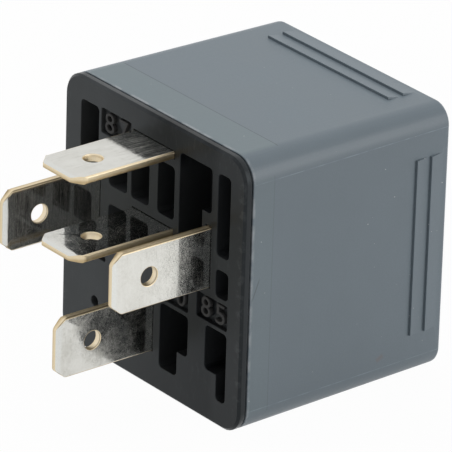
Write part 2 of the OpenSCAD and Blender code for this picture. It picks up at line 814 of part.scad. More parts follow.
module yoke() {
    color("#8d9195") difference() {
        union() {
            // bent strip: a foot across the coil's end and a back beside the coil
            along_x(yoke_w) translate([yoke_y0, yoke_z0])
                bent_strip(hinge_y - yoke_y0, yoke_foot_z1 - yoke_z0, yoke_t, yoke_bend_r);
            // round edge that the armature rocks on
            translate([0, hinge_y, hinge_z]) rotate([0, 90, 0])
                cylinder(r = hinge_r, h = yoke_w, center = true);
        }
        // hole for the core's tail
        translate([0, yoke_y0 - over, coil_z]) rotate([-90, 0, 0])
            cylinder(d = core_tail_d + 2 * hole_clear, h = yoke_t + 2 * over);
        // holes for the rivets of the spring and of terminal 30
        for (sx = [-1, 1])
            translate([sx * rivet_x, spring_rivet_y, yoke_z0 - over])
                cylinder(d = rivet_d + 2 * hole_clear, h = yoke_t + 2 * over);
        translate([t30_rivet_x, yoke_y0 - over, t30_rivet_z]) rotate([-90, 0, 0])
            cylinder(d = rivet_d + 2 * hole_clear, h = yoke_t + 2 * over);
    }
}

module yoke_rivets() {
    color("#8f9296") for (sx = [-1, 1])
        translate([sx * rivet_x, spring_rivet_y, yoke_z0 - spring_t]) rotate([90, 0, 0])
            headed_pin(rivet_d, rivet_head_d, rivet_head_h, yoke_t + spring_t);
}

module terminal_30_rivet() {
    color("#8f9296") translate([t30_rivet_x, base_d, t30_rivet_z])
        rotate([-90, 0, 0]) cylinder(d = rivet_d, h = blade_t + yoke_t);
}

module core() {
    color("#85898d") {
        // shank, pole face and the tail that is riveted over
        translate([0, yoke_y1, coil_z]) rotate([-90, 0, 0]) cylinder(d = core_d, h = pole_y - yoke_y1);
        translate([0, bobbin_y1, coil_z]) rotate([-90, 0, 0]) cylinder(d = pole_d, h = pole_t);
        translate([0, yoke_y0, coil_z]) rotate([-90, 0, 0]) cylinder(d = core_tail_d, h = yoke_t);
        translate([0, yoke_y0 - tail_flare, coil_z]) rotate([-90, 0, 0])
            cylinder(d1 = core_tail_d, d2 = core_tail_d + 2 * tail_flare, h = tail_flare);
    }
}

// ---- Coil ----

module bobbin() {
    color("#d8d3c4") difference() {
        union() {
            for (y = [yoke_y1, winding_y1])
                translate([0, 0, coil_z]) along_y(y, y + bobbin_flange_t)
                    round_rect(bobbin_w, bobbin_w, bobbin_corner_r);
            translate([0, yoke_y1, coil_z]) rotate([-90, 0, 0])
                cylinder(r = bobbin_tube_r, h = bobbin_y1 - yoke_y1);
        }
        translate([0, yoke_y1 - over, coil_z]) rotate([-90, 0, 0])
            cylinder(r = bobbin_bore_r, h = bobbin_y1 - yoke_y1 + 2 * over);
    }
}

// The winding fills the bobbin, and its outer layer shows turn by turn
module coil_winding() {
    length = winding_y1 - winding_y0;
    turns = floor(length / turn_pitch);
    step = length / turns;
    outer = winding_d / 2;
    color("#a5562e") translate([0, winding_y0, coil_z]) rotate([-90, 0, 0]) rotate_extrude()
        polygon(concat(
            [[bobbin_tube_r, 0], [outer - step / 3, 0]],
            [for (i = [0 : turns - 1], k = [0, 1])
                k == 0 ? [outer, (i + 0.5) * step] : [outer - step / 3, (i + 1) * step]],
            [[bobbin_tube_r, length]]));
}

// A lead: out of the winding, up beside it, across to its post, then close turns round the post
module coil_lead(side) {
    wire_pitch = lead_d * 0.94;
    wrap_r = norm([post_w, blade_t]) / 2 + lead_d / 2 + 0.02;
    bend = 2 * lead_d;
    x0 = winding_d / 2 + lead_d / 2 + 0.02;
    y = wrap_y0 + wire_pitch / 2;
    color("#a5562e") mirror([side < 0 ? 1 : 0, 0, 0]) {
        translate([x0, y, coil_z]) cylinder(d = lead_d, h = post_z - bend - coil_z);
        translate([x0 + bend, y, post_z - bend]) rotate([90, 0, 0])
            rotate_extrude(angle = 90, start = 90) translate([bend, 0]) circle(d = lead_d);
        translate([x0 + bend, y, post_z]) rotate([0, 90, 0])
            cylinder(d = lead_d, h = coil_t_x - wrap_r - x0 - bend);
        translate([coil_t_x, wrap_y0, post_z]) rotate([-90, 0, 0]) rotate_extrude()
            for (i = [0 : lead_wraps - 1])
                translate([wrap_r, i * wire_pitch]) circle(d = lead_d, $fn = wire_fn);
    }
}

module coil_lead_85() { coil_lead(1); }
module coil_lead_86() { coil_lead(-1); }

base();
cover();
terminal_30();
terminal_85();
terminal_86();
terminal_87();
terminal_87a();
fixed_contact_87();
fixed_contact_87a();
moving_contact();
contact_spring();
armature();
armature_rivets();
yoke();
yoke_rivets();
terminal_30_rivet();
core();
bobbin();
coil_winding();
coil_lead_85();
coil_lead_86();
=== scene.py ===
import json
import math

import bmesh
import bpy
from bpy.props import FloatProperty, FloatVectorProperty, IntProperty, PointerProperty
from mathutils import Matrix, Vector


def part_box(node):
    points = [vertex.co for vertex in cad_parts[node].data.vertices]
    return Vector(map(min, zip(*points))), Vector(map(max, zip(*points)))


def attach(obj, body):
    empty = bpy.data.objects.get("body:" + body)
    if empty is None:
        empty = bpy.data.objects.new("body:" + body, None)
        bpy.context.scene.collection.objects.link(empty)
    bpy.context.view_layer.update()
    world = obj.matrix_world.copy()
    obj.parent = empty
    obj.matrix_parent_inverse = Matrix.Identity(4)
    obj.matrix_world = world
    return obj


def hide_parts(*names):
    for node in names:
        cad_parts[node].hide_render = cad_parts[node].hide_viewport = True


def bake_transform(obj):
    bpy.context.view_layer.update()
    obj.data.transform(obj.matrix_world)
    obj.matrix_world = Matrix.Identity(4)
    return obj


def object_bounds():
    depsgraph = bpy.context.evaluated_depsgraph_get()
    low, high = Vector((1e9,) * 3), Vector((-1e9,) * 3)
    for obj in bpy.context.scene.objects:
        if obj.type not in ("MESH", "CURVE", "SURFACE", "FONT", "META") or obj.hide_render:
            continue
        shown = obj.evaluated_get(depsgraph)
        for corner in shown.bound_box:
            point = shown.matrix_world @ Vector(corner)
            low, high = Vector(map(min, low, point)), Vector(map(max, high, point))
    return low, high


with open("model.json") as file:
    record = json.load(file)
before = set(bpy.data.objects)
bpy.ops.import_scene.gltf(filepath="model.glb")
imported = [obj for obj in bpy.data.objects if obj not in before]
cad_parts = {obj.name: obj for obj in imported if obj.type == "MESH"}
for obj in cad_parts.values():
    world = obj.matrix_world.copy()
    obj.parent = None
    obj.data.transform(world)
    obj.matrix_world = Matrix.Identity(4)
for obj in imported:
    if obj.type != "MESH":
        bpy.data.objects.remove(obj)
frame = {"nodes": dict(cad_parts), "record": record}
cad_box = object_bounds()

bl_info = {
    "name": "Plug-in changeover relay",
    "version": (1, 0, 0),
    "blender": (4, 5, 0),
    "location": "View3D > Sidebar > Relay",
    "description": "Dresses a mini relay: drafted cover, ribbed base, tinned blades and the magnet inside",
    "category": "Object",
}

MM = 0.001
HOUSING = "housing"

# The terminal face, the cover's mouth and the lowest side, which the relay lies on
FACE_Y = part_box("base")[0].y
MOUTH_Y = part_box("cover")[0].y
REST_Z = cad_box[0].z

# Points of a mesh that lie closer than this are one point
WELD = 0.0005 * MM
# Edges sharper than this stay crisp
CRISP = math.radians(35)
# A normal's share along an axis above which the surface counts as flat on that side
FLAT_SIDE = 0.98
# Width of the camera's sensor, in millimetres
SENSOR_WIDTH = 36.0


# ---- Sizes and colours ----

class CoverSizes(bpy.types.PropertyGroup):
    """Sizes and colours of the moulded cover"""

    draft: FloatProperty(
        name="Draft", description="Taper of the walls towards the closed end",
        default=math.radians(0.92), subtype="ANGLE")
    corner: FloatProperty(
        name="Corner", description="Radius of the four long edges at the mouth",
        default=2.5 * MM, unit="LENGTH")
    end_round: FloatProperty(
        name="End rounding", description="Rounding of the edge round the closed end",
        default=0.45 * MM, unit="LENGTH")
    mouth_round: FloatProperty(
        name="Mouth rounding", description="Rounding of the edge at the mouth",
        default=0.1 * MM, unit="LENGTH")
    mouth_gap: FloatProperty(
        name="Mouth gap", description="How far the mouth's edge stands back at the seam",
        default=0.1 * MM, unit="LENGTH")
    wall: FloatProperty(
        name="Wall", description="Thickness of the walls", default=1.0 * MM, unit="LENGTH")
    ridge_height: FloatProperty(
        name="Ridge height", description="Height of a grip ridge at its steep face",
        default=0.28 * MM, unit="LENGTH")
    ridge_taper: FloatProperty(
        name="Ridge taper", description="Length over which a ridge fades into the wall",
        default=1.6 * MM, unit="LENGTH")
    ridge_pitch: FloatProperty(
        name="Ridge pitch", description="Distance between the ridges",
        default=1.82 * MM, unit="LENGTH")
    ridge_span: FloatProperty(
        name="Ridge span", description="Length of a ridge across its side",
        default=18.4 * MM, unit="LENGTH")
    ridge_end: FloatProperty(
        name="Ridge end gap", description="Distance of the last steep face from the closed end",
        default=2.4 * MM, unit="LENGTH")
    ridge_round: FloatProperty(
        name="Ridge rounding", description="Rounding of the ridges' edges",
        default=0.06 * MM, unit="LENGTH")
    ridge_count: IntProperty(
        name="Ridges", description="Number of ridges on each side", default=2, min=1, max=3)
    top_line: FloatProperty(
        name="Line across the top", description="Distance of the mould's line from the terminal face",
        default=5.3 * MM, unit="LENGTH")
    side_line: FloatProperty(
        name="Line across the side", description="Distance of the mould's line from the terminal face",
        default=3.5 * MM, unit="LENGTH")
    # the painted highlight runs along this line, at the tangent of the rounded edges
    corner_line: FloatProperty(
        name="Line along the corners", description="Distance of the mould's lines from the middle",
        default=11.75 * MM, unit="LENGTH")
    colour: FloatVectorProperty(
        name="Colour", description="Grey of the moulded cover", subtype="COLOR",
        size=3, default=(0.184, 0.226, 0.258))
    fleck: FloatVectorProperty(
        name="Flecks", description="Colour of the pale dust flecks", subtype="COLOR",
        size=3, default=(0.62, 0.64, 0.66))
    stain: FloatVectorProperty(
        name="Stain", description="Brown of the small stain on the side of terminal 85", subtype="COLOR",
        size=3, default=(0.21, 0.16, 0.15))


class BaseSizes(bpy.types.PropertyGroup):
    """Sizes and colours of the moulded base and its numbers"""

    rim_round: FloatProperty(
        name="Rim rounding", description="Rounding of the pockets' rims",
        default=0.07 * MM, unit="LENGTH")
    flange_round: FloatProperty(
        name="Flange rounding", description="Rounding of the flange's edge at the seam",
        default=0.08 * MM, unit="LENGTH")
    digit_height: FloatProperty(
        name="Digit height", description="Height of the raised terminal numbers",
        default=2.05 * MM, unit="LENGTH")
    digit_width: FloatProperty(
        name="Digit width", description="Width of a raised digit",
        default=1.4 * MM, unit="LENGTH")
    digit_thin: FloatProperty(
        name="Digit stroke", description="Offset of the digits' strokes: less than 0 is thinner",
        default=-0.03 * MM, unit="LENGTH")
    digit_top: FloatProperty(
        name="Digit depth", description="Depth of the digits' tops below the terminal face",
        default=0.1 * MM, unit="LENGTH")
    digit_round: FloatProperty(
        name="Digit rounding", description="Rounding of the digits' edges",
        default=0.03 * MM, unit="LENGTH")
    label_depth: FloatProperty(
        name="Box depth", description="Depth of the recessed boxes behind the digits",
        default=0.5 * MM, unit="LENGTH")
    colour: FloatVectorProperty(
        name="Colour", description="Near-black of the moulded base", subtype="COLOR",
        size=3, default=(0.010, 0.011, 0.0125))
    fleck: FloatVectorProperty(
        name="Flecks", description="Colour of the dust flecks on the base", subtype="COLOR",
        size=3, default=(0.30, 0.30, 0.30))
    # painted light on the base, towards terminal 86 and on its +X side; also the paler rim by terminal 85
    lit_and_paler: FloatVectorProperty(
        name="Worn", description="Colour of the base's more worn side", subtype="COLOR",
        size=3, default=(0.070, 0.075, 0.079))
    scuff: FloatVectorProperty(
        name="Scuffs", description="Colour of the rubbed places on the base", subtype="COLOR",
        size=3, default=(0.12, 0.125, 0.13))


class BladeSizes(bpy.types.PropertyGroup):
    """Sizes and colours of the stamped terminals"""

    edge_round: FloatProperty(
        name="Edge rounding", description="Rounding of the stamped edges",
        default=0.04 * MM, unit="LENGTH")
    hole_rim: FloatProperty(
        name="Hole rim", description="Bright ring pressed round a locking hole",
        default=0.09 * MM, unit="LENGTH")
    corner_round: FloatProperty(
        name="Corner rounding", description="Rounding of the corners at a blade's tip, seen flat",
        default=0.3 * MM, unit="LENGTH")
    tin: FloatVectorProperty(
        name="Tin", description="Colour of the bright tin plate", subtype="COLOR",
        size=3, default=(0.70, 0.695, 0.655))
    tarnish: FloatVectorProperty(
        name="Tarnish", description="Colour of the duller patches of the tin", subtype="COLOR",
        size=3, default=(0.56, 0.55, 0.50))
    coined: FloatVectorProperty(
        name="Coined tin", description="Colour of the tin on the coined tip", subtype="COLOR",
        size=3, default=(0.70, 0.705, 0.675))
    brass: FloatVectorProperty(
        name="Brass", description="Colour of the bare stamped edges", subtype="COLOR",
        size=3, default=(0.81, 0.685, 0.475))
    # deep brass: the fracture zone of the stamped edges, with painted shade on the half turned from the
    # light
    deep_brass: FloatVectorProperty(
        name="Deep brass", description="Colour of the torn part of the stamped edges", subtype="COLOR",
        size=3, default=(0.47, 0.35, 0.18))
    punched: FloatVectorProperty(
        name="Punched brass", description="Colour of the walls of the punched holes", subtype="COLOR",
        size=3, default=(0.90, 0.79, 0.60))


class InnerSizes(bpy.types.PropertyGroup):
    """Colours of the magnet, the coil and the contacts"""

    steel: FloatVectorProperty(
        name="Steel", description="Colour of the zinc-plated iron", subtype="COLOR",
        size=3, default=(0.56, 0.57, 0.58))
    bronze: FloatVectorProperty(
        name="Bronze", description="Colour of the contact spring", subtype="COLOR",
        size=3, default=(0.72, 0.47, 0.26))
    silver: FloatVectorProperty(
        name="Silver", description="Colour of the contacts", subtype="COLOR",
        size=3, default=(0.80, 0.78, 0.73))
    copper: FloatVectorProperty(
        name="Copper", description="Colour of the enamelled wire", subtype="COLOR",
        size=3, default=(0.45, 0.13, 0.045))
    nylon: FloatVectorProperty(
        name="Nylon", description="Colour of the bobbin", subtype="COLOR",
        size=3, default=(0.72, 0.68, 0.56))
    spring_cut: FloatProperty(
        name="Spring cuts", description="Distance between the cuts that let the spring bend",
        default=0.5 * MM, unit="LENGTH")


class StageSizes(bpy.types.PropertyGroup):
    """Camera, floor and light"""

    azimuth: FloatProperty(
        name="Azimuth", description="Angle of the camera round the relay",
        default=math.radians(51.149), subtype="ANGLE")
    elevation: FloatProperty(
        name="Elevation", description="Angle of the camera above the horizon",
        default=math.radians(24.593), subtype="ANGLE")
    roll: FloatProperty(
        name="Roll", description="Turn of the camera round its own axis",
        default=math.radians(1.763), subtype="ANGLE")
    distance: FloatProperty(
        name="Distance", description="Distance of the camera from the terminal face",
        default=0.5789, unit="LENGTH")
    aside: FloatProperty(
        name="Aside", description="Sideways shift of the aim from the middle of the terminal face",
        default=7.133 * MM, unit="LENGTH")
    above: FloatProperty(
        name="Above", description="Upward shift of the aim from the middle of the terminal face",
        default=2.423 * MM, unit="LENGTH")
    lens: FloatProperty(
        name="Lens", description="Focal length for a sensor 36 mm wide, in millimetres",
        default=484.1)
    floor: FloatProperty(
        name="Floor", description="Side of the floor", default=6.0, unit="LENGTH")
    floor_colour: FloatVectorProperty(
        name="Floor colour", description="Colour of the floor where light falls on it", subtype="COLOR",
        size=3, default=(0.82, 0.82, 0.82))
    floor_white: FloatProperty(
        name="Floor white", description="Share of plain white in the floor as it is seen",
        default=0.975, subtype="FACTOR", min=0.0, max=1.0)
    room: FloatProperty(
        name="Room light", description="Strength of the light from all round", default=0.2, min=0.0)


# ---- Mesh helpers ----

def link(name, mesh):
    """A new object at the origin"""
    obj = bpy.data.objects.new(name, mesh)
    bpy.context.scene.collection.objects.link(obj)
    return obj


def smooth_faces(mesh):
    """Smooth shading with crisp edges"""
    mesh.shade_smooth()
    mesh.set_sharp_from_angle(angle=CRISP)


def finish_piece(obj, body, nodes, materials):
    """Shading, then materials and body, and hides the CAD nodes that the piece stands for"""
    smooth_faces(obj.data)
    even = obj.modifiers.new("Even normals", "WEIGHTED_NORMAL")
    even.keep_sharp = True
    for material in materials:
        obj.data.materials.append(material)
    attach(obj, body)
    if nodes:
        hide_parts(*nodes)


def object_from(bm, name):
    """The bmesh as a new object"""
    mesh = bpy.data.meshes.new(name)
    bm.to_mesh(mesh)
    bm.free()
    return link(name, mesh)


def merged_copy(node):
    """A bmesh of a CAD node with its loose triangles merged and its flat faces whole"""
    bm = bmesh.new()
    bm.from_mesh(frame["nodes"][node].data)
    bmesh.ops.remove_doubles(bm, verts=bm.verts, dist=WELD)
    bmesh.ops.dissolve_limit(
        bm, angle_limit=math.radians(0.5), use_dissolve_boundaries=False,
        verts=bm.verts, edges=bm.edges, delimit=set())
    return bm


def convex_edges(bm, least, test):
    """Outer edges sharper than an angle in degrees that pass a test"""
    return [e for e in bm.edges
            if len(e.link_faces) == 2 and e.is_convex
            and e.calc_face_angle(0.0) > math.radians(least) and test(e)]


def round_edges(bm, edges, width):
    """Bevels edges to a width"""
    bmesh.ops.bevel(
        bm, geom=edges, offset=width, offset_type="OFFSET", segments=2,
        profile=0.5, affect="EDGES", clamp_overlap=False, material=-1)


def rounded_plate(bm, half_w, half_h, radius, y, segments):
    """One face across Y with rounded corners"""
    corners = bmesh.ops.create_grid(bm, x_segments=1, y_segments=1, size=1.0)["verts"]
    for v in corners:
        v.co = Vector((v.co.x * half_w, y, v.co.y * half_h))
    bmesh.ops.bevel(
        bm, geom=corners, offset=radius, offset_type="OFFSET", segments=segments,
        profile=0.5, affect="VERTICES", clamp_overlap=False, material=-1)


def next_ring(bm, ring, half_w, half_h, radius, inset, y):
    """Extrudes a ring of edges to a depth y and an inset of the rounded outline"""
    made = bmesh.ops.extrude_edge_only(bm, edges=ring)["geom"]
    for v in made:
        if isinstance(v, bmesh.types.BMVert):
            middle = Vector((math.copysign(half_w - radius, v.co.x),
                             math.copysign(half_h - radius, v.co.z)))
            out = (Vector((v.co.x, v.co.z)) - middle).normalized()
            x, z = middle + out * (radius - inset)
            v.co = (x, y, z)
    return [e for e in made if isinstance(e, bmesh.types.BMEdge)]


def unite(obj, others):
    """Unites the other objects to obj and removes them"""
    for other in others:
        cut = obj.modifiers.new("Union", "BOOLEAN")
        cut.operation = "UNION"
        cut.solver = "EXACT"
        cut.object = other
    graph = bpy.context.evaluated_depsgraph_get()
    mesh = bpy.data.meshes.new_from_object(obj.evaluated_get(graph))
    obj.modifiers.clear()
    old = obj.data
    obj.data = mesh
    bpy.data.meshes.remove(old)
    for other in others:
        spent = other.data
        bpy.data.objects.remove(other)
        bpy.data.meshes.remove(spent)


# ---- Material helpers ----

def toned(colour, factor):
    """A colour with every channel scaled"""
    return [channel * factor for channel in colour]


def rgba(colour):
    """A colour with full alpha"""
    return (*tuple(colour)[:3], 1.0)


def join(tree, value, socket):
    """A link from an output, or a plain value on the socket"""
    if isinstance(value, bpy.types.NodeSocket):
        tree.links.new(value, socket)
    else:
        socket.default_value = value


def math_node(tree, operation, *values):
    """A Math node on up to three outputs or numbers"""
    node = tree.nodes.new("ShaderNodeMath")
    node.operation = operation
    for value, socket in zip(values, node.inputs):
        join(tree, value, socket)
    return node.outputs["Value"]


class Surface:
    """A Principled material whose patterns read Object coordinates"""

    def __init__(self, name):
        self.material = bpy.data.materials.new(name)
        self.material.use_nodes = True
        self.tree = self.material.node_tree
        self.shader = self.tree.nodes["Principled BSDF"]
        self.place = self.node("TexCoord").outputs["Object"]

    def node(self, kind):
        """A new shader node"""
        return self.tree.nodes.new("ShaderNode" + kind)

    def join(self, value, socket):
        join(self.tree, value, socket)

    def set(self, **values):
        """Values or links on the shader's sockets, named with underscores"""
        for name, value in values.items():
            self.join(value, self.shader.inputs[name.replace("_", " ")])

    def math(self, operation, *values):
        return math_node(self.tree, operation, *values)

    def times(self, first, *others):
        """The product of two or more values"""
        for other in others:
            first = self.math("MULTIPLY", first, other)
        return first

    def unsigned(self, value):
        return self.math("ABSOLUTE", value)

    def between(self, value, low, high, start=0.0, end=1.0, smooth=False):
        """value mapped from low..high to start..end, clamped"""
        node = self.node("MapRange")
        node.interpolation_type = "SMOOTHSTEP" if smooth else "LINEAR"
        for socket, number in zip(("Value", "From Min", "From Max", "To Min", "To Max"),
                                  (value, low, high, start, end)):
            self.join(number, node.inputs[socket])
        return node.outputs["Result"]

    def mix(self, share, first, second):
        """Colour between first and second"""
        node = self.node("Mix")
        node.data_type = "RGBA"
        self.join(share, node.inputs["Factor"])
        for socket, value in zip(("A", "B"), (first, second)):
            target = [s for s in node.inputs if s.name == socket and s.type == "RGBA"][0]
            self.join(value if isinstance(value, bpy.types.NodeSocket) else rgba(value), target)
        return [s for s in node.outputs if s.type == "RGBA"][0]

    def drift(self, pattern, colour, low, high=1.0):
        """A colour that drifts between two tones with a pattern"""
        return self.mix(self.between(pattern, 0.3, 0.7), toned(colour, low), toned(colour, high))

    def parts(self, vector):
        """X, Y and Z of a vector"""
        node = self.node("SeparateXYZ")
        self.join(vector, node.inputs["Vector"])
        return node.outputs

    def axis(self, name):
        """One Object coordinate"""
        return self.parts(self.place)[name]

    def normal_axis(self, name):
        """One component of the surface's own normal"""
        return self.parts(self.node("TexCoord").outputs["Normal"])[name]

    def stretched(self, scale):
        """Object coordinates stretched by a scale on each axis"""
        node = self.node("Mapping")
        self.join(self.place, node.inputs["Vector"])
        node.inputs["Scale"].default_value = scale
        return node.outputs["Vector"]

    def noise(self, size, detail=3.0, roughness=0.55, vector=None):
        """Noise whose largest lumps are about size across"""
        node = self.node("TexNoise")
        self.join(vector or self.place, node.inputs["Vector"])
        node.inputs["Scale"].default_value = 1.0 / size
        node.inputs["Detail"].default_value = detail
        node.inputs["Roughness"].default_value = roughness
        return node.outputs["Fac"]

    def flecks(self, spacing, radius, share):
        """1 on small round specks in a share of the cells, 0 elsewhere"""
        node = self.node("TexVoronoi")
        self.join(self.place, node.inputs["Vector"])
        node.inputs["Scale"].default_value = 1.0 / spacing
        near = self.math("LESS_THAN", node.outputs["Distance"], radius / spacing)
        split = self.node("SeparateColor")
        self.join(node.outputs["Color"], split.inputs["Color"])
        return self.times(near, self.math("LESS_THAN", split.outputs["Red"], share))

    def dusted(self, shade, colour, kinds, share, strength):
        """A shade under flecks of dust, each kind with its spacing and radius"""
        for spacing, radius in kinds:
            flecks = self.flecks(spacing, radius, share)
            shade = self.mix(self.times(flecks, strength), shade, colour)
        return shade

    def line(self, coordinate, place, half_width):
        """1 on a line across a coordinate, fading to 0 at its sides"""
        away = self.unsigned(self.math("SUBTRACT", coordinate, place))
        return self.between(away, 0.0, half_width, 1.0, 0.0, smooth=True)

    def stroke(self, place, start, end, half_width):
        """1 on a straight stroke from start to end across two coordinates, 0 elsewhere"""
        run = Vector(end) - Vector(start)
        across = Vector((-run.y, run.x)).normalized()
        offset = [self.math("SUBTRACT", c, start[i]) for i, c in enumerate(place)]
        side, part = [
            self.math("MULTIPLY_ADD", offset[0], way.x, self.times(offset[1], way.y))
            for way in (across, run / run.length_squared)]
        near = self.between(self.unsigned(side), 0.0, half_width, 1.0, 0.0)
        from_middle = self.unsigned(self.math("SUBTRACT", part, 0.5))
        return self.times(near, self.between(from_middle, 0.3, 0.5, 1.0, 0.0))

    def bump(self, height, distance, strength=1.0, below=None):
        """Bump from a height, stacked on one below it"""
        node = self.node("Bump")
        self.join(strength, node.inputs["Strength"])
        node.inputs["Distance"].default_value = distance
        self.join(height, node.inputs["Height"])
        if below is not None:
            self.join(below, node.inputs["Normal"])
        return node.outputs["Normal"]


# ---- Materials ----

def mould_lines_and_highlight(s, sizes, shade, on_side):
    """Lines where the mould's inserts meet, the band beside the mouth, a touch paler and greener, and a
    painted highlight along the side's rounded edges
    """
    y, z = s.axis("Y"), s.axis("Z")
    on_top = s.math("GREATER_THAN", s.normal_axis("Z"), FLAT_SIDE)
    top_band = s.times(s.math("LESS_THAN", y, sizes.top_line), on_top)
    side_band = s.times(s.math("LESS_THAN", y, sizes.side_line), on_side)
    band = s.math("MULTIPLY_ADD", side_band, 0.45, top_band)
    red, green, blue = sizes.colour
    shade = s.mix(s.times(band, 0.4), shade, (red, green * 1.07, blue * 0.97))
    top = s.times(s.line(y, sizes.top_line, 0.09 * MM), on_top)
    side = s.times(s.line(y, sizes.side_line, 0.08 * MM), on_side)
    dark = s.math("ADD", s.times(top, 0.85), s.times(side, 0.3))
    shade = s.mix(dark, shade, toned(sizes.colour, 0.4))
    # painted highlight: a paler broken line at the tangent where the side meets the long rounded edges
    broken = s.between(s.noise(1.5 * MM), 0.4, 0.6, 0.15, 0.75)
    corner = s.line(s.unsigned(z), sizes.corner_line, 0.07 * MM)
    return s.mix(s.times(corner, on_side, broken), shade, toned(sizes.colour, 1.7))


def cover_wear(s, sizes, shade, on_side):
    """A scratch and a stain on the side of terminal 85, the mouth's edge rubbed pale, and dust"""
    y, z = s.axis("Y"), s.axis("Z")
    scratch = s.stroke((y, z), (2.1 * MM, 2.1 * MM), (1.1 * MM, -0.4 * MM), 0.1 * MM)
    shade = s.mix(s.times(scratch, on_side, 0.7), shade, toned(sizes.colour, 0.4))
    stain = s.stroke((y, z), (16.9 * MM, -10.9 * MM), (17.9 * MM, -10.4 * MM), 0.4 * MM)
    shade = s.mix(s.times(stain, on_side, 0.5), shade, sizes.stain)
    at_mouth = s.between(y, MOUTH_Y + 0.22 * MM, MOUTH_Y + 0.47 * MM, 1.0, 0.0)
    rubbed = s.between(s.noise(1.6 * MM, detail=4.0), 0.4, 0.6)
    shade = s.mix(s.times(rubbed, at_mouth, 0.4), shade, sizes.fleck)
    kinds = ((1.7 * MM, 0.065 * MM), (0.9 * MM, 0.035 * MM))
    return s.dusted(shade, sizes.fleck, kinds, share=0.3, strength=0.75)


def cover_plastic(sizes):
    """Satin grey moulding with polishing marks along it, mould lines and wear"""
    s = Surface("cover_plastic")
    cloud = s.noise(9 * MM, detail=2.0)
    grain = s.noise(0.16 * MM, detail=2.0)
    shade = s.drift(cloud, sizes.colour, 0.96, 1.04)
    shade = s.mix(s.between(grain, 0.35, 0.65, 0.0, 0.35), shade, toned(sizes.colour, 0.88))
    on_side = s.math("GREATER_THAN", s.normal_axis("X"), FLAT_SIDE)
    shade = mould_lines_and_highlight(s, sizes, shade, on_side)
    shade = cover_wear(s, sizes, shade, on_side)
    # marks drawn along the depth, which show on the rounded edges, and fainter upright ones
    drawn = s.noise(0.5 * MM, vector=s.stretched((1.0, 0.03, 1.0)))
    upright = s.noise(0.35 * MM, detail=1.0, vector=s.stretched((1.0, 1.0, 0.02)))
    flat = s.math("MAXIMUM", s.unsigned(s.normal_axis("X")), s.unsigned(s.normal_axis("Z")))
    normal = s.bump(grain, 0.012 * MM, 0.5)
    normal = s.bump(drawn, 0.03 * MM, s.between(flat, 0.9, 0.99, 1.0, 0.2), below=normal)
    normal = s.bump(upright, 0.008 * MM, 0.35, below=normal)
    rough = s.between(cloud, 0.2, 0.8, 0.4, 0.48)
    s.set(Base_Color=shade, Roughness=rough, Normal=normal, Specular_IOR_Level=0.5)
    return s.material


def base_wear_and_painted_light(s, sizes, shade, cloud):
    """Painted light: paler towards the side of terminal 86 and on the +X side outside it; paler also at the
    rim by terminal 85
    """
    x, y = s.axis("X"), s.axis("Y")
    # painted light: the face paler towards terminal 86, and the +X side paler where the side lamp falls;
    # the rim by terminal 85 is paler too
    across = s.times(s.between(x, -8 * MM, 8 * MM, 1.0, 0.0), s.between(cloud, 0.3, 0.7, 0.8, 1.0))
    at_rim = s.between(x, 9.2 * MM, 10.4 * MM, 0.0, 0.3)
    outside = s.between(s.normal_axis("X"), 0.9, 0.98, 0.0, 0.35)
    lit_and_paler = s.math("MAXIMUM", across, s.math("MAXIMUM", at_rim, outside))
    shade = s.mix(lit_and_paler, shade, sizes.lit_and_paler)
    # a darker place above the root of terminal 87, nearly black
    darker_place = s.times(s.line(x, 2.2 * MM, 5.5 * MM), s.between(s.axis("Z"), 10.0 * MM, 11.2 * MM))
    shade = s.mix(s.times(darker_place, s.between(cloud, 0.35, 0.5)), shade, toned(sizes.colour, 0.3))
    scuffs = s.noise(0.5 * MM, detail=5.0, roughness=0.7, vector=s.stretched((1.0, 1.0, 0.3)))
    scuffed = s.times(s.between(scuffs, 0.52, 0.7), s.between(cloud, 0.45, 0.65))
    shade = s.mix(s.times(scuffed, 0.25), shade, sizes.scuff)
    # the flange's edge, rubbed in places
    side_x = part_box("base")[1].x
    at_edge = s.times(s.between(s.unsigned(x), side_x - 1.1 * MM, side_x - 0.6 * MM),
                      s.between(y, 0.1 * MM, 0.3 * MM, 1.0, 0.0))
    rubbed = s.between(s.noise(1.1 * MM, detail=4.0, roughness=0.65), 0.5, 0.62)
    shade = s.mix(s.times(at_edge, rubbed, 0.35), shade, sizes.scuff)
    kinds = ((1.5 * MM, 0.055 * MM), (0.8 * MM, 0.03 * MM))
    return s.dusted(shade, sizes.fleck, kinds, share=0.14, strength=0.6)


def base_plastic(sizes):
    """Black satin moulding with painted light, scuffed and dusty"""
    s = Surface("base_plastic")
    cloud = s.noise(5 * MM)
    grain = s.noise(0.2 * MM, detail=2.0)
    shade = base_wear_and_painted_light(s, sizes, s.drift(cloud, sizes.colour, 0.7, 1.4), cloud)
    rough = s.between(cloud, 0.25, 0.75, 0.27, 0.37)
    s.set(Base_Color=shade, Roughness=rough, Normal=s.bump(grain, 0.012 * MM, 0.5),
          Specular_IOR_Level=0.18, Specular_Tint=(0.82, 0.95, 1.0, 1.0))
    return s.material


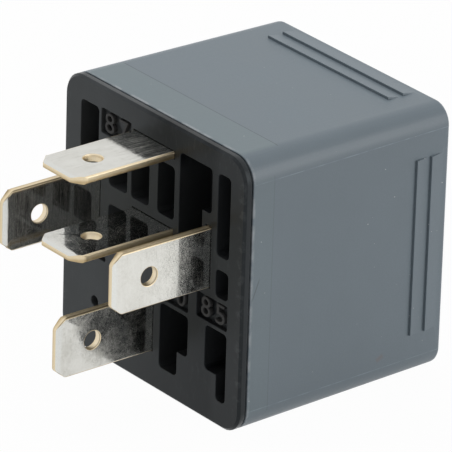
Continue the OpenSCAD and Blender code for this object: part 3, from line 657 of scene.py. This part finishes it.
def tin_plate(name, sizes, along, tone, mirror, grain, veil, weights, sand, streaks, ripple):
    """Bright tin plate under a fine haze, coined paler at the tip.

    veil is the level above which a grain is hazy, on untouched and on handled tin, and weights are the
    shares of mottle, patches and drawn streaks in that. The last three are heights of unevenness.
    """
    s = Surface(name)
    metals = (sizes.tin, sizes.tarnish, sizes.coined)
    colour, tarnish, coined = (toned(metal, tone) for metal in metals)
    grains = s.noise(grain, detail=1.0)
    mottle = s.noise(0.3 * MM, detail=4.0, roughness=0.7)
    patch = s.noise(2.4 * MM, roughness=0.6)
    drawn = s.noise(0.16 * MM, vector=s.stretched((1.0, 0.06, 1.0) if along else (0.06, 1.0, 0.06)))
    handled = s.math("MULTIPLY_ADD", patch, weights[1], s.times(drawn, weights[2]))
    handled = s.math("MULTIPLY_ADD", mottle, weights[0], handled)
    limit = s.between(handled, 0.4, 0.62, *veil)
    hazy = s.between(s.math("SUBTRACT", grains, limit), 0.0, 0.03)
    shade = s.mix(s.between(handled, 0.42, 0.64, 0.0, 0.6), colour, tarnish)
    at_tip = s.between(s.normal_axis("Y"), -0.14, -0.06, 1.0, 0.0)
    shade = s.mix(at_tip, shade, coined)
    # unevenness shows where the blade mirrors the edge between bright and dark
    wavy = s.noise(0.6 * MM, vector=s.stretched((1.0, 0.5, 1.0) if along else (0.5, 1.0, 0.8)))
    pits = s.between(s.noise(0.12 * MM, roughness=0.65), 0.54, 0.8)
    pitted = s.between(patch, 0.35, 0.6, 0.3, 1.0)
    normal = s.bump(wavy, ripple)
    normal = s.bump(drawn, streaks, below=normal)
    normal = s.bump(pits, sand, pitted, below=normal)
    s.set(Base_Color=shade, Metallic=1.0, Roughness=s.between(hazy, 0.0, 1.0, mirror, 0.42), Normal=normal)
    return s.material


def bare_brass(name, colour, deep, axis, middle, flat):
    """Sheared brass with painted shade: on a flat blade paler above its middle, on an upright one towards
    terminal 85
    """
    s = Surface(name)
    shear = s.noise(0.12 * MM)
    cloud = s.noise(0.9 * MM)
    through = s.math("SUBTRACT", s.axis(axis), middle)
    shade = s.drift(shear, colour, 0.9)
    # deeper brass on the fracture half of the cut, with painted shade on the half turned from the light
    if flat:
        torn_and_shaded = s.between(through, -0.15 * MM, 0.1 * MM, 0.9, 0.0)
    else:
        torn_and_shaded = s.between(through, -0.3 * MM, 0.05 * MM, 1.0, 0.0)
    shade = s.mix(s.times(torn_and_shaded, s.between(cloud, 0.35, 0.6, 0.7, 1.0)), shade, deep)
    if not flat:
        # a line of painted shade where the edge turns into the face
        turn = s.line(through, 0.3 * MM, 0.09 * MM)
        shade = s.mix(s.times(turn, 0.85), shade, toned(deep, 0.35))
    s.set(Base_Color=shade, Metallic=1.0, Roughness=s.between(shear, 0.3, 0.7, 0.38, 0.5),
          Normal=s.bump(shear, 0.008 * MM, 0.5))
    return s.material


def plain_metal(name, colour, grain_size, rough, stretch=(1.0, 1.0, 1.0)):
    """A metal with a fine grain, stretched along one axis where it was rolled"""
    s = Surface(name)
    grain = s.noise(grain_size, vector=s.stretched(stretch))
    cloud = s.noise(2.5 * MM, detail=2.0)
    s.set(Base_Color=s.drift(cloud, colour, 0.85), Metallic=1.0,
          Roughness=s.between(grain, 0.3, 0.7, rough - 0.06, rough + 0.08),
          Normal=s.bump(grain, 0.006 * MM, 0.5))
    return s.material


def nylon(colour):
    """Natural nylon with a soft sheen"""
    s = Surface("bobbin_nylon")
    cloud = s.noise(2.0 * MM, detail=2.0)
    grain = s.noise(0.15 * MM, detail=2.0)
    s.set(Base_Color=s.drift(cloud, colour, 0.93), Roughness=s.between(cloud, 0.3, 0.7, 0.35, 0.45),
          Normal=s.bump(grain, 0.01 * MM, 0.4), Subsurface_Weight=0.1, Subsurface_Scale=0.5 * MM)
    return s.material


def copper_wire(colour):
    """Enamelled copper under clear lacquer"""
    s = Surface("copper_wire")
    cloud = s.noise(1.2 * MM)
    s.set(Base_Color=s.drift(cloud, colour, 0.75), Metallic=0.6,
          Roughness=s.between(cloud, 0.3, 0.7, 0.22, 0.34), Normal=s.bump(cloud, 0.01 * MM, 0.3),
          Coat_Weight=0.6, Coat_Roughness=0.12)
    return s.material


# ---- Operators ----

class RELAY_OT_cover(bpy.types.Operator):
    """Model the drafted cover with its grip ridges"""

    bl_idname = "relay.cover"
    bl_label = "Cover"

    def shell(self, sizes):
        """Rings from the cavity's end, out of the mouth and back to the closed end, bridged in order"""
        low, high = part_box("cover")
        half_w, half_h = high.x, high.z
        slope = math.tan(sizes.draft)
        wall, r_end, r_mouth = sizes.wall, sizes.end_round, sizes.mouth_round
        quarter = [i * math.pi / 8 for i in range(5)]
        mouth = low.y + sizes.mouth_gap
        stations = [(mouth + 2 * r_mouth, wall), (mouth, wall - r_mouth), (mouth, r_mouth)]
        stations += [(mouth + r_mouth * (1 - math.cos(a)), r_mouth * (1 - math.sin(a)))
                     for a in quarter[1:]]
        stations += [(high.y - r_end * (1 - math.sin(a)), r_end * (1 - math.cos(a))) for a in quarter]
        bm = bmesh.new()
        inner = wall + slope * (high.y - wall - low.y)
        rounded_plate(bm, half_w - inner, half_h - inner, sizes.corner - inner, high.y - wall, segments=16)
        ring = bm.edges[:]
        for y, inset in stations:
            inset += slope * (y - low.y)
            ring = next_ring(bm, ring, half_w, half_h, sizes.corner, inset, y)
        bmesh.ops.edgeloop_fill(bm, edges=ring)
        bmesh.ops.recalc_face_normals(bm, faces=bm.faces)
        return object_from(bm, "cover_shell")

    def ridge(self, sizes, half, y, turn):
        """One wedge on the side that a turn round Y brings to +X: steep towards the blades"""
        slope = math.tan(sizes.draft)
        face = half - slope * (y - MOUTH_Y)
        sunk_end = 0.02 * MM
        bm = bmesh.new()
        bmesh.ops.create_cube(bm, size=1.0)
        for v in bm.verts:
            front, outer = v.co.y < 0, v.co.x > 0
            root = -sizes.wall / 2
            top = sizes.ridge_height if front else 0.0
            v.co = Vector((face + (top if outer else root),
                           y + (0.0 if front else sizes.ridge_taper),
                           math.copysign(sizes.ridge_span / 2, v.co.z)))
            if not front:
                v.co.x -= slope * sizes.ridge_taper + (sunk_end if outer else 0.0)
        under_face, halfway = face - 0.1 * MM, y + sizes.ridge_taper / 2
        outer_edges = [e for e in bm.edges if all(v.co.x > under_face for v in e.verts)
                       and any(v.co.y < halfway for v in e.verts)]
        round_edges(bm, outer_edges, sizes.ridge_round)
        bmesh.ops.rotate(bm, verts=bm.verts, cent=(0, 0, 0), matrix=Matrix.Rotation(turn, 3, "Y"))
        bmesh.ops.recalc_face_normals(bm, faces=bm.faces)
        return object_from(bm, "ridge")

    def execute(self, context):
        sizes = context.scene.relay_cover
        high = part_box("cover")[1]
        cover = self.shell(sizes)
        ridges = []
        for quarter_turn in range(4):
            half = (high.x, high.z)[quarter_turn % 2]
            for i in range(sizes.ridge_count):
                y = high.y - sizes.ridge_end - i * sizes.ridge_pitch
                ridges.append(self.ridge(sizes, half, y, quarter_turn * math.pi / 2))
        unite(cover, ridges)
        cover.name = "cover_moulding"
        finish_piece(cover, HOUSING, ["cover"], [cover_plastic(sizes)])
        return {"FINISHED"}


class RELAY_OT_base(bpy.types.Operator):
    """Round the rims of the base's pockets and the flange's edge"""

    bl_idname = "relay.base"
    bl_label = "Base"

    # The least angle in degrees of a moulded square edge, and how far a point may lie off its plane
    SQUARE = 60
    OFF_PLANE = 0.01 * MM
    # Depth of the flange's step at the seam, and how far from the middle the flange begins
    SEAM_STEP = 0.15 * MM
    FLANGE_FROM = 12 * MM

    def at_face(self, edge):
        return all(abs(v.co.y - FACE_Y) < self.OFF_PLANE for v in edge.verts)

    def at_seam(self, edge):
        return all(self.OFF_PLANE < MOUTH_Y - v.co.y < self.SEAM_STEP
                   and max(abs(v.co.x), abs(v.co.z)) > self.FLANGE_FROM for v in edge.verts)

    def execute(self, context):
        sizes = context.scene.relay_base
        bm = merged_copy("base")
        round_edges(bm, convex_edges(bm, self.SQUARE, self.at_face), sizes.rim_round)
        round_edges(bm, convex_edges(bm, self.SQUARE, self.at_seam), sizes.flange_round)
        base = object_from(bm, "base_moulding")
        finish_piece(base, HOUSING, ["base"], [base_plastic(sizes)])
        return {"FINISHED"}


class RELAY_OT_numbers(bpy.types.Operator):
    """Raise the terminal numbers in their recessed boxes"""

    bl_idname = "relay.numbers"
    bl_label = "Terminal numbers"

    # Number, the middle of its box across and upwards, and the distance between its digits
    PLACES = (
        ("85", 9.55 * MM, -2.55 * MM, 2.2 * MM),
        ("86", -9.475 * MM, -2.6 * MM, 2.2 * MM),
        ("87", -5.9 * MM, 10.75 * MM, 2.2 * MM),
        ("30", 3.525 * MM, -2.95 * MM, 2.2 * MM),
        ("87a", 5.75 * MM, 0.5 * MM, 1.15 * MM),
    )
    # Height of the letter as a share of the digits', and the most of its pitch that a digit fills
    SMALL = 0.78
    FILLED = 0.8

    def digit(self, context, letter, sizes, width):
        """One raised digit as a mesh round the origin that faces -Y and fills the digit's size"""
        curve = bpy.data.curves.new("digit", "FONT")
        curve.body = letter
        curve.size = sizes.digit_height
        curve.extrude = (sizes.label_depth - sizes.digit_top) / 2
        curve.offset = sizes.digit_thin
        curve.bevel_depth = sizes.digit_round
        curve.bevel_resolution = 1
        curve.resolution_u = 6
        source = link("digit_source", curve)
        graph = context.evaluated_depsgraph_get()
        mesh = bpy.data.meshes.new_from_object(source.evaluated_get(graph))
        bpy.data.objects.remove(source)
        bpy.data.curves.remove(curve)
        across = [v.co.x for v in mesh.vertices]
        up = [v.co.y for v in mesh.vertices]
        height = sizes.digit_height * (self.SMALL if letter.isalpha() else 1.0)
        middle = Vector(((min(across) + max(across)) / 2, (min(up) + max(up)) / 2, 0))
        grow = Matrix.Diagonal((width / (max(across) - min(across)), height / (max(up) - min(up)), 1, 1))
        turn = Matrix.Rotation(math.pi / 2, 4, "X")
        mesh.transform(turn @ grow @ Matrix.Translation(-middle))
        return mesh

    def execute(self, context):
        sizes = context.scene.relay_base
        material = bpy.data.materials.get("base_plastic") or base_plastic(sizes)
        depth = FACE_Y + (sizes.label_depth + sizes.digit_top) / 2
        for number, x, z, pitch in self.PLACES:
            bm = bmesh.new()
            for i, letter in enumerate(number):
                mesh = self.digit(context, letter, sizes, min(sizes.digit_width, self.FILLED * pitch))
                place = (x + (i - (len(number) - 1) / 2) * pitch, depth, z)
                mesh.transform(Matrix.Translation(place))
                bm.from_mesh(mesh)
                bpy.data.meshes.remove(mesh)
            bmesh.ops.remove_doubles(bm, verts=bm.verts, dist=WELD)
            piece = object_from(bm, "number_" + number)
            finish_piece(piece, HOUSING, [], [material])
        return {"FINISHED"}


class RELAY_OT_terminals(bpy.types.Operator):
    """Roll over the stamped edges of the terminals and lay tin on their faces"""

    bl_idname = "relay.terminals"
    bl_label = "Terminals"

    # Each terminal's tin, as tin_plate takes it
    TIN = {
        "30": dict(
            tone=0.96, mirror=0.11, grain=0.022 * MM, veil=(0.62, 0.42), weights=(0.25, 0.65, 0.1),
            sand=0.0012 * MM, streaks=0.0004 * MM, ripple=0.008 * MM),
        "85": dict(
            tone=1.05, mirror=0.07, grain=0.035 * MM, veil=(0.65, 0.49), weights=(0.35, 0.4, 0.25),
            sand=0.008 * MM, streaks=0.0006 * MM, ripple=0.002 * MM),
        "86": dict(
            tone=1.0, mirror=0.06, grain=0.022 * MM, veil=(0.6, 0.5), weights=(0.1, 0.25, 0.65),
            sand=0.0004 * MM, streaks=0.0014 * MM, ripple=0.001 * MM),
        "87": dict(
            tone=0.96, mirror=0.07, grain=0.022 * MM, veil=(0.7, 0.46), weights=(0.15, 0.3, 0.55),
            sand=0.001 * MM, streaks=0.003 * MM, ripple=0.008 * MM),
        "87a": dict(
            tone=0.95, mirror=0.06, grain=0.06 * MM, veil=(0.7, 0.56), weights=(0.35, 0.45, 0.2),
            sand=0.006 * MM, streaks=0.0003 * MM, ripple=0.001 * MM),
    }
    # Places of the materials on a terminal
    TINNED, SHEARED, PUNCHED = range(3)
    # Distances from the terminal face: out to a blade's tip corners, and in to its foot
    TIP_FROM = 9.5 * MM
    FOOT_FROM = 4 * MM
    # Least angles in degrees of a tip's corner and of a stamped edge
    CORNER = 20
    EDGE = 30
    # Distances from a lock hole's middle within which its rim and its wall lie
    RIM_REACH = 1.2 * MM
    WALL_REACH = 1.0 * MM

    def at_tip(self, edge, thin):
        """True for an edge through the blade's thickness near its tip"""
        one, two = (v.co for v in edge.verts)
        run = (two - one).normalized()
        return abs(run[thin]) > 0.99 and max(one.y, two.y) < FACE_Y - self.TIP_FROM

    def at_hole(self, edge, hole, thin):
        """True where both ends of an edge lie at the lock hole's rim, seen along its axis"""
        ends = [v.co - hole for v in edge.verts]
        for end in ends:
            end[thin] = 0
        return all(end.length < self.RIM_REACH for end in ends)

    def finish_of(self, face, hole, thin):
        """Place of the material that a face takes"""
        middle = face.calc_center_median()
        if middle.y > FACE_Y + self.FOOT_FROM:
            sheared = abs(face.normal[2 - thin]) > 0.3
        else:
            sheared = abs(face.normal[thin]) < 0.96
        if not sheared:
            return self.TINNED
        middle[thin] = hole[thin]
        return self.PUNCHED if (middle - hole).length < self.WALL_REACH else self.SHEARED

    def stamping(self, node, sizes, hole, thin):
        """A copy of the terminal with its corners, its edges and its hole's rims rolled over"""
        bm = merged_copy(node)
        corners = convex_edges(bm, self.CORNER, lambda e: self.at_tip(e, thin))
        bmesh.ops.bevel(
            bm, geom=corners, offset=sizes.corner_round, offset_type="OFFSET", segments=3,
            profile=0.5, affect="EDGES", clamp_overlap=True, material=-1)
        rims = convex_edges(bm, self.EDGE, lambda e: self.at_hole(e, hole, thin))
        round_edges(bm, rims, sizes.hole_rim)
        others = convex_edges(bm, self.EDGE, lambda e: not self.at_hole(e, hole, thin))
        round_edges(bm, others, sizes.edge_round)
        bm.normal_update()
        for face in bm.faces:
            face.material_index = self.finish_of(face, hole, thin)
        return object_from(bm, node + "_stamping")

    def execute(self, context):
        sizes = context.scene.relay_blades
        mounts = {m["name"]: m for m in frame["record"]["mounts"]}
        for number, finish in self.TIN.items():
            node = "terminal_" + number
            mount = mounts["lock_hole_" + number]
            hole = Vector(mount["pos_m"])
            # the blade is thin along its lock hole's axis: 0 for X, on an upright blade, or 2 for Z
            thin = max(range(3), key=lambda i: abs(mount["axis"][i]))
            flat = thin == 2
            piece = self.stamping(node, sizes, hole, thin)
            tin = tin_plate("tin_" + number, sizes, along=flat, **finish)
            sheared, punched = (
                bare_brass(name + number, colour, deep, "XYZ"[thin], hole[thin], flat)
                for name, colour, deep in (("sheared_brass_", sizes.brass, sizes.deep_brass),
                                           ("punched_brass_", sizes.punched, sizes.brass)))
            finish_piece(piece, HOUSING, [node], [tin, sheared, punched])
        return {"FINISHED"}


class RELAY_OT_spring(bpy.types.Operator):
    """Cut the contact spring into slices along its length and give it its bronze"""

    bl_idname = "relay.spring"
    bl_label = "Contact spring"

    # The leaf's bend: from the hinge back to the yoke that holds it, and out and up to the armature
    BACK = 2.8 * MM
    OUT = 1.8 * MM
    UP = 2.2 * MM

    def execute(self, context):
        sizes = context.scene.relay_inner
        bm = merged_copy("contact_spring")
        low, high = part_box("contact_spring")
        steps = int((high.y - low.y) / sizes.spring_cut)
        for i in range(1, steps):
            bmesh.ops.bisect_plane(
                bm, geom=bm.verts[:] + bm.edges[:] + bm.faces[:], dist=0.0001 * MM,
                plane_co=(0, low.y + i * (high.y - low.y) / steps, 0), plane_no=(0, 1, 0))
        bmesh.ops.triangulate(bm, faces=[f for f in bm.faces if len(f.verts) > 4])
        spring = object_from(bm, "contact_leaf")
        smooth_faces(spring.data)
        spring.data.materials.append(
            plain_metal("spring_bronze", sizes.bronze, 0.1 * MM, 0.28, (1.0, 0.05, 1.0)))
        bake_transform(spring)
        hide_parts("contact_spring")
        return {"FINISHED"}


class RELAY_OT_inner(bpy.types.Operator):
    """Give the magnet, the coil and the contacts their finishes"""

    bl_idname = "relay.inner"
    bl_label = "Inner pieces"

    def execute(self, context):
        sizes = context.scene.relay_inner
        finishes = (
            (plain_metal("magnet_steel", sizes.steel, 0.18 * MM, 0.36), ("yoke", "core", "armature")),
            (plain_metal("rivet_steel", toned(sizes.steel, 0.9), 0.12 * MM, 0.3),
             ("armature_rivets", "yoke_rivets", "terminal_30_rivet")),
            (plain_metal("contact_silver", sizes.silver, 0.1 * MM, 0.3),
             ("fixed_contact_87", "fixed_contact_87a", "moving_contact")),
            (nylon(sizes.nylon), ("bobbin",)),
            (copper_wire(sizes.copper), ("coil_winding", "coil_lead_85", "coil_lead_86")),
        )
        for material, nodes in finishes:
            for node in nodes:
                slots = frame["nodes"][node].data.materials
                slots.clear()
                slots.append(material)
        return {"FINISHED"}


class RELAY_OT_stage(bpy.types.Operator):
    """Set the pale floor, the soft light and the camera"""

    bl_idname = "relay.stage"
    bl_label = "Stage"

    # Name, place from the relay's middle, side, power, whether glossy surfaces show it
    LIGHTS = (
        ("light_top", (-0.26, 0.05, 0.52), 0.5, 2.0, False),
        ("light_side", (0.42, 0.27, 0.13), 0.34, 0.95, True),
    )

    def paint_white(self, tree, output_kind, surface, white_kind, share):
        """Seen directly or in a reflection, a share of the surface is plain white"""
        nodes, links = tree.nodes, tree.links
        rays = nodes.new("ShaderNodeLightPath").outputs
        seen = math_node(tree, "MAXIMUM", rays["Is Camera Ray"], rays["Is Glossy Ray"])
        seen = math_node(tree, "MAXIMUM", seen, rays["Is Transmission Ray"])
        white = nodes.new(white_kind)
        white.inputs["Color"].default_value = (1, 1, 1, 1)
        white.inputs["Strength"].default_value = 1.0
        mixed = nodes.new("ShaderNodeMixShader")
        links.new(math_node(tree, "MULTIPLY", seen, share), mixed.inputs[0])
        links.new(surface.outputs[0], mixed.inputs[1])
        links.new(white.outputs[0], mixed.inputs[2])
        links.new(mixed.outputs[0], nodes.new(output_kind).inputs["Surface"])

    def floor(self, sizes):
        """A pale floor that keeps the relay's shadow"""
        bm = bmesh.new()
        bmesh.ops.create_grid(bm, x_segments=1, y_segments=1, size=sizes.floor / 2)
        bmesh.ops.translate(bm, verts=bm.verts, vec=(0, 0, REST_Z))
        floor = object_from(bm, "floor")
        material = bpy.data.materials.new("floor_white")
        material.use_nodes = True
        tree = material.node_tree
        tree.nodes.clear()
        matte = tree.nodes.new("ShaderNodeBsdfDiffuse")
        matte.inputs["Color"].default_value = rgba(sizes.floor_colour)
        self.paint_white(tree, "ShaderNodeOutputMaterial", matte, "ShaderNodeEmission", sizes.floor_white)
        floor.data.materials.append(material)

    def world(self, sizes):
        """Soft light from all round"""
        world = bpy.data.worlds.new("soft_room")
        bpy.context.scene.world = world
        world.use_nodes = True
        tree = world.node_tree
        tree.nodes.clear()
        room = tree.nodes.new("ShaderNodeBackground")
        room.inputs["Color"].default_value = (1, 1, 1, 1)
        room.inputs["Strength"].default_value = sizes.room
        self.paint_white(tree, "ShaderNodeOutputWorld", room, "ShaderNodeBackground", 1.0)

    def lamps(self):
        """Square lamps that face the relay's middle"""
        low, high = cad_box
        for name, place, side, power, glossy in self.LIGHTS:
            light = bpy.data.lights.new(name, "AREA")
            light.shape = "SQUARE"
            light.size = side
            light.energy = power
            lamp = link(name, light)
            lamp.location = (low + high) / 2 + Vector(place)
            lamp.visible_glossy = glossy
            lamp.rotation_mode = "QUATERNION"
            lamp.rotation_quaternion = (-Vector(place)).to_track_quat("-Z", "Y")

    def camera(self, sizes):
        """The camera, aimed beside the middle of the terminal face"""
        a, e, roll = sizes.azimuth, sizes.elevation, sizes.roll
        back = Vector((math.sin(a) * math.cos(e), -math.cos(a) * math.cos(e), math.sin(e)))
        right = Vector((math.cos(a), math.sin(a), 0))
        up = back.cross(right)
        across = right * math.cos(roll) + up * math.sin(roll)
        upward = up * math.cos(roll) - right * math.sin(roll)
        data = bpy.data.cameras.new("camera")
        data.sensor_width = SENSOR_WIDTH
        data.lens = sizes.lens
        data.clip_start, data.clip_end = 0.01, 20.0
        camera = link("camera", data)
        place = Vector((0, FACE_Y, 0)) + back * sizes.distance + across * sizes.aside + upward * sizes.above
        turn = Matrix((across, upward, back)).transposed().to_4x4()
        camera.matrix_world = Matrix.Translation(place) @ turn
        bpy.context.scene.camera = camera

    def execute(self, context):
        sizes = context.scene.relay_stage
        context.scene.view_settings.view_transform = "Standard"
        self.camera(sizes)
        self.floor(sizes)
        self.world(sizes)
        self.lamps()
        return {"FINISHED"}


class RELAY_PT_panel(bpy.types.Panel):
    """The relay's sizes and the steps that make it"""

    bl_idname = "RELAY_PT_panel"
    bl_label = "Relay"
    bl_space_type = "VIEW_3D"
    bl_region_type = "UI"
    bl_category = "Relay"

    def draw(self, context):
        layout = self.layout
        for operator in OPERATORS:
            layout.operator(operator.bl_idname)
        for group in GROUPS:
            settings = getattr(context.scene, group)
            box = layout.box()
            box.label(text=settings.bl_rna.description)
            for name in settings.__annotations__:
                box.prop(settings, name)


GROUPS = {
    "relay_cover": CoverSizes,
    "relay_base": BaseSizes,
    "relay_blades": BladeSizes,
    "relay_inner": InnerSizes,
    "relay_stage": StageSizes,
}
OPERATORS = (
    RELAY_OT_stage, RELAY_OT_cover, RELAY_OT_base, RELAY_OT_numbers,
    RELAY_OT_terminals, RELAY_OT_spring, RELAY_OT_inner,
)


def register():
    for group in GROUPS.values():
        bpy.utils.register_class(group)
    for operator in OPERATORS:
        bpy.utils.register_class(operator)
    bpy.utils.register_class(RELAY_PT_panel)
    for name, group in GROUPS.items():
        setattr(bpy.types.Scene, name, PointerProperty(type=group))


def unregister():
    for name in GROUPS:
        delattr(bpy.types.Scene, name)
    bpy.utils.unregister_class(RELAY_PT_panel)
    for operator in reversed(OPERATORS):
        bpy.utils.unregister_class(operator)
    for group in reversed(GROUPS.values()):
        bpy.utils.unregister_class(group)


def main():
    """Registers the add-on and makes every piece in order"""
    register()
    bpy.ops.relay.stage()
    bpy.ops.relay.cover()
    bpy.ops.relay.base()
    bpy.ops.relay.numbers()
    bpy.ops.relay.terminals()
    bpy.ops.relay.spring()
    bpy.ops.relay.inner()


if __name__ == "__main__":
    main()
